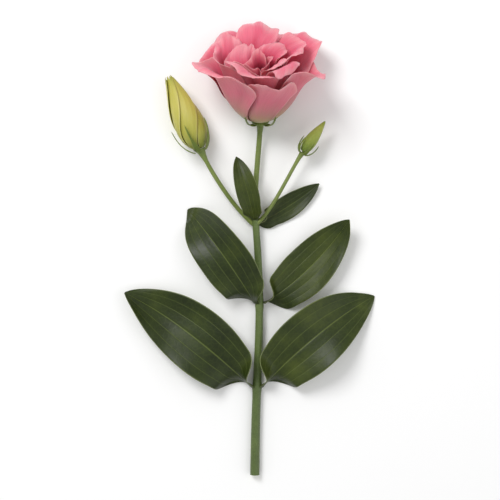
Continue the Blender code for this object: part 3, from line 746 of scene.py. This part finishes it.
for k in range(5):
    turn = math.radians(72 * k + 20)
    knots = [(r * math.cos(turn), r * math.sin(turn), h)
             for r, h in ((1.35, 7.7), (1.45, 9.5), (1.45, 11.5), (1.35, 13.0), (1.25, 14.2))]
    add_tube(f'stamen_{k + 1}_skin', f'stamen_{k + 1}',
             carry(bloom, crumple(np.array(knots))), (0.22, 0.22, 0.22, 0.26, 0.34), (CREAM_SKIN,),
             sides=10, finer=3)

# ---- The buds ---------------------------------------------------------------------------------
bud = resting(BUD_HEADING, BUD_RISE, BUD_FOOT, [BUD, BUD_CALYX], twirl, LOBE_THICK)
add_whorl('bud_petal', BUD, bud, twirl, BUD_GRID, BUD_SHEET, (BUD_SKIN, BUD_SKIN),
          BUD_FRINGE)
add_whorl('bud_lobe', BUD_CALYX, bud, unchanged, LOBE_GRID, LOBE_SHEET, GREEN)
small = axis_frame(SMALL_BUD_HEADING, SMALL_BUD_RISE, SMALL_BUD_FOOT)
add_turned('small_bud_skin', 'small_bud',
           [(0.0, 22.0), (0.7, 21.0), (1.5, 18.5), (2.6, 14.5), (3.5, 10.0), (3.6, 6.5), (2.9, 3.0),
            (1.9, 1.0), (0.0, 0.4)], small, (YOUNG_SKIN,), steps=60, twist=0.035, depth=0.08)
add_whorl('small_bud_lobe', SMALL_BUD_CALYX, small, unchanged, LOBE_GRID, LOBE_SHEET, GREEN)

# ---- Stems ------------------------------------------------------------------------------------
places = [stem_at(FORK_Y * k / 45) for k in range(46)]


def swell(y):
    """The stem is thicker where its leaves join it."""
    joints = (LOWER_NODE_Y, MIDDLE_NODE_Y, FORK_Y - 1.5)
    return 1 + sum(0.16 * math.exp(-((y - at) / 2.6) ** 2) for at in joints)


add_tube('main_stem_skin', 'main_stem', [c for c, r in places],
         [r * swell(c.y) for c, r in places], (STEM_SKIN, CUT_FACE), sides=24, ridges=0.03, finer=3)
fork, fork_radius = stem_at(FORK_Y)


def add_stalk(node, start, start_run, at, foot_z, run, radius, foot_radius, count, root):
    """A stalk of count knots from the fork to foot_z on the axis of a bloom or bud. It leaves along
    start_run, arrives along the axis, and its skin also runs root mm back into the stem."""
    foot = at @ Vector((0, 0, foot_z))
    tip = at.to_3x3() @ Vector((0, 0, 1))
    back = start - Vector(start_run).normalized() * root
    points = [back] + hermite(start, start_run, foot, tip * run, count)
    radii = [1.3 * radius, 1.14 * radius] + [radius] * (count - 3)
    radii += [radius + 0.4 * (foot_radius - radius), foot_radius]
    add_tube(f'{node}_skin', node, points, radii, (STALK_SKIN,), ridges=0.03)


top = fork + Vector((0, SEAT, 0))
left = fork + Vector((-(fork_radius + SEAT + 0.9 * BUD_STALK_RADIUS), -4.0, -0.6))
right = fork + Vector((fork_radius + SEAT + 0.9 * BUD_STALK_RADIUS, -4.0, 0.8))
add_stalk('flower_stalk', top, (0, 55, 0), bloom, -2.8 - SEAT, 27, STALK_RADIUS, 2.3, 14, ROOT)
add_stalk('large_bud_stalk', left, (-30, 26, 4), bud, 0.1, 38, BUD_STALK_RADIUS, 2.85, 12, BUD_ROOT)
add_stalk('small_bud_stalk', right, (24, 24, 6), small, 0.1, 26, BUD_STALK_RADIUS * 0.85, 1.6, 10,
          BUD_ROOT)

# ---- Leaves -----------------------------------------------------------------------------------
for node, leaf in LEAVES.items():
    small_leaf = node.startswith('upper')
    grid, groove = (SMALL_LEAF_GRID, SMALL_LEAF_GROOVE) if small_leaf else (LEAF_GRID, LEAF_GROOVE)
    add_sheet(f'{node}_skin', node, grid, lambda u, v: leaf_sheet(leaf, u, v, groove),
              LEAF_SHEET, (LEAF_TOP, LEAF_UNDER), abs(leaf.heading) / 60, rim=0.5)

# ---- Floor, light and camera ------------------------------------------------------------------
FLOOR_SIZE, FLOOR_GAP = 6.0, 0.0001
SKY = 0.62                          # strength of the even white light from all round
LENS, SENSOR = 90.0, 36.0
FILL = 0.93                         # share of the picture's height that the stem takes up

middle = (cad_low + cad_high) / 2
bpy.ops.mesh.primitive_plane_add(size=FLOOR_SIZE, location=(0, 0, cad_low.z - FLOOR_GAP))
floor = bpy.context.object
floor.name = 'floor'
paint = Paint('floor_paint')
floor.data.materials.append(paint.skin((0.93, 0.93, 0.93, 1.0), 0.8, specular=0.1))

world = bpy.data.worlds.new('studio')
bpy.context.scene.world = world
world.use_nodes = True
background = world.node_tree.nodes['Background']
background.inputs['Color'].default_value = (1.0, 1.0, 1.0, 1.0)
background.inputs['Strength'].default_value = SKY


def add_light(name, place, size, energy):
    """A soft square lamp aimed at the middle of the part."""
    light = bpy.data.lights.new(name, 'AREA')
    light.size = size
    light.energy = energy
    lamp = bpy.data.objects.new(name, light)
    lamp.location = place
    lamp.rotation_euler = (middle - Vector(place)).to_track_quat('-Z', 'Y').to_euler()
    bpy.context.scene.collection.objects.link(lamp)


add_light('key', (-0.45, 0.55, 0.85), 0.45, 7.2)
add_light('fill', (0.7, -0.2, 0.7), 0.8, 1.6)

camera = bpy.data.cameras.new('camera')
camera.lens = LENS
camera.sensor_width = SENSOR
camera.clip_start = 0.01
eye = bpy.data.objects.new('camera', camera)
bpy.context.scene.collection.objects.link(eye)
tall = (cad_high.y - cad_low.y) / FILL
eye.location = (middle.x, middle.y, cad_high.z / 2 + tall * LENS / SENSOR)
bpy.context.scene.camera = eye
bpy.context.scene.view_settings.view_transform = 'Standard'
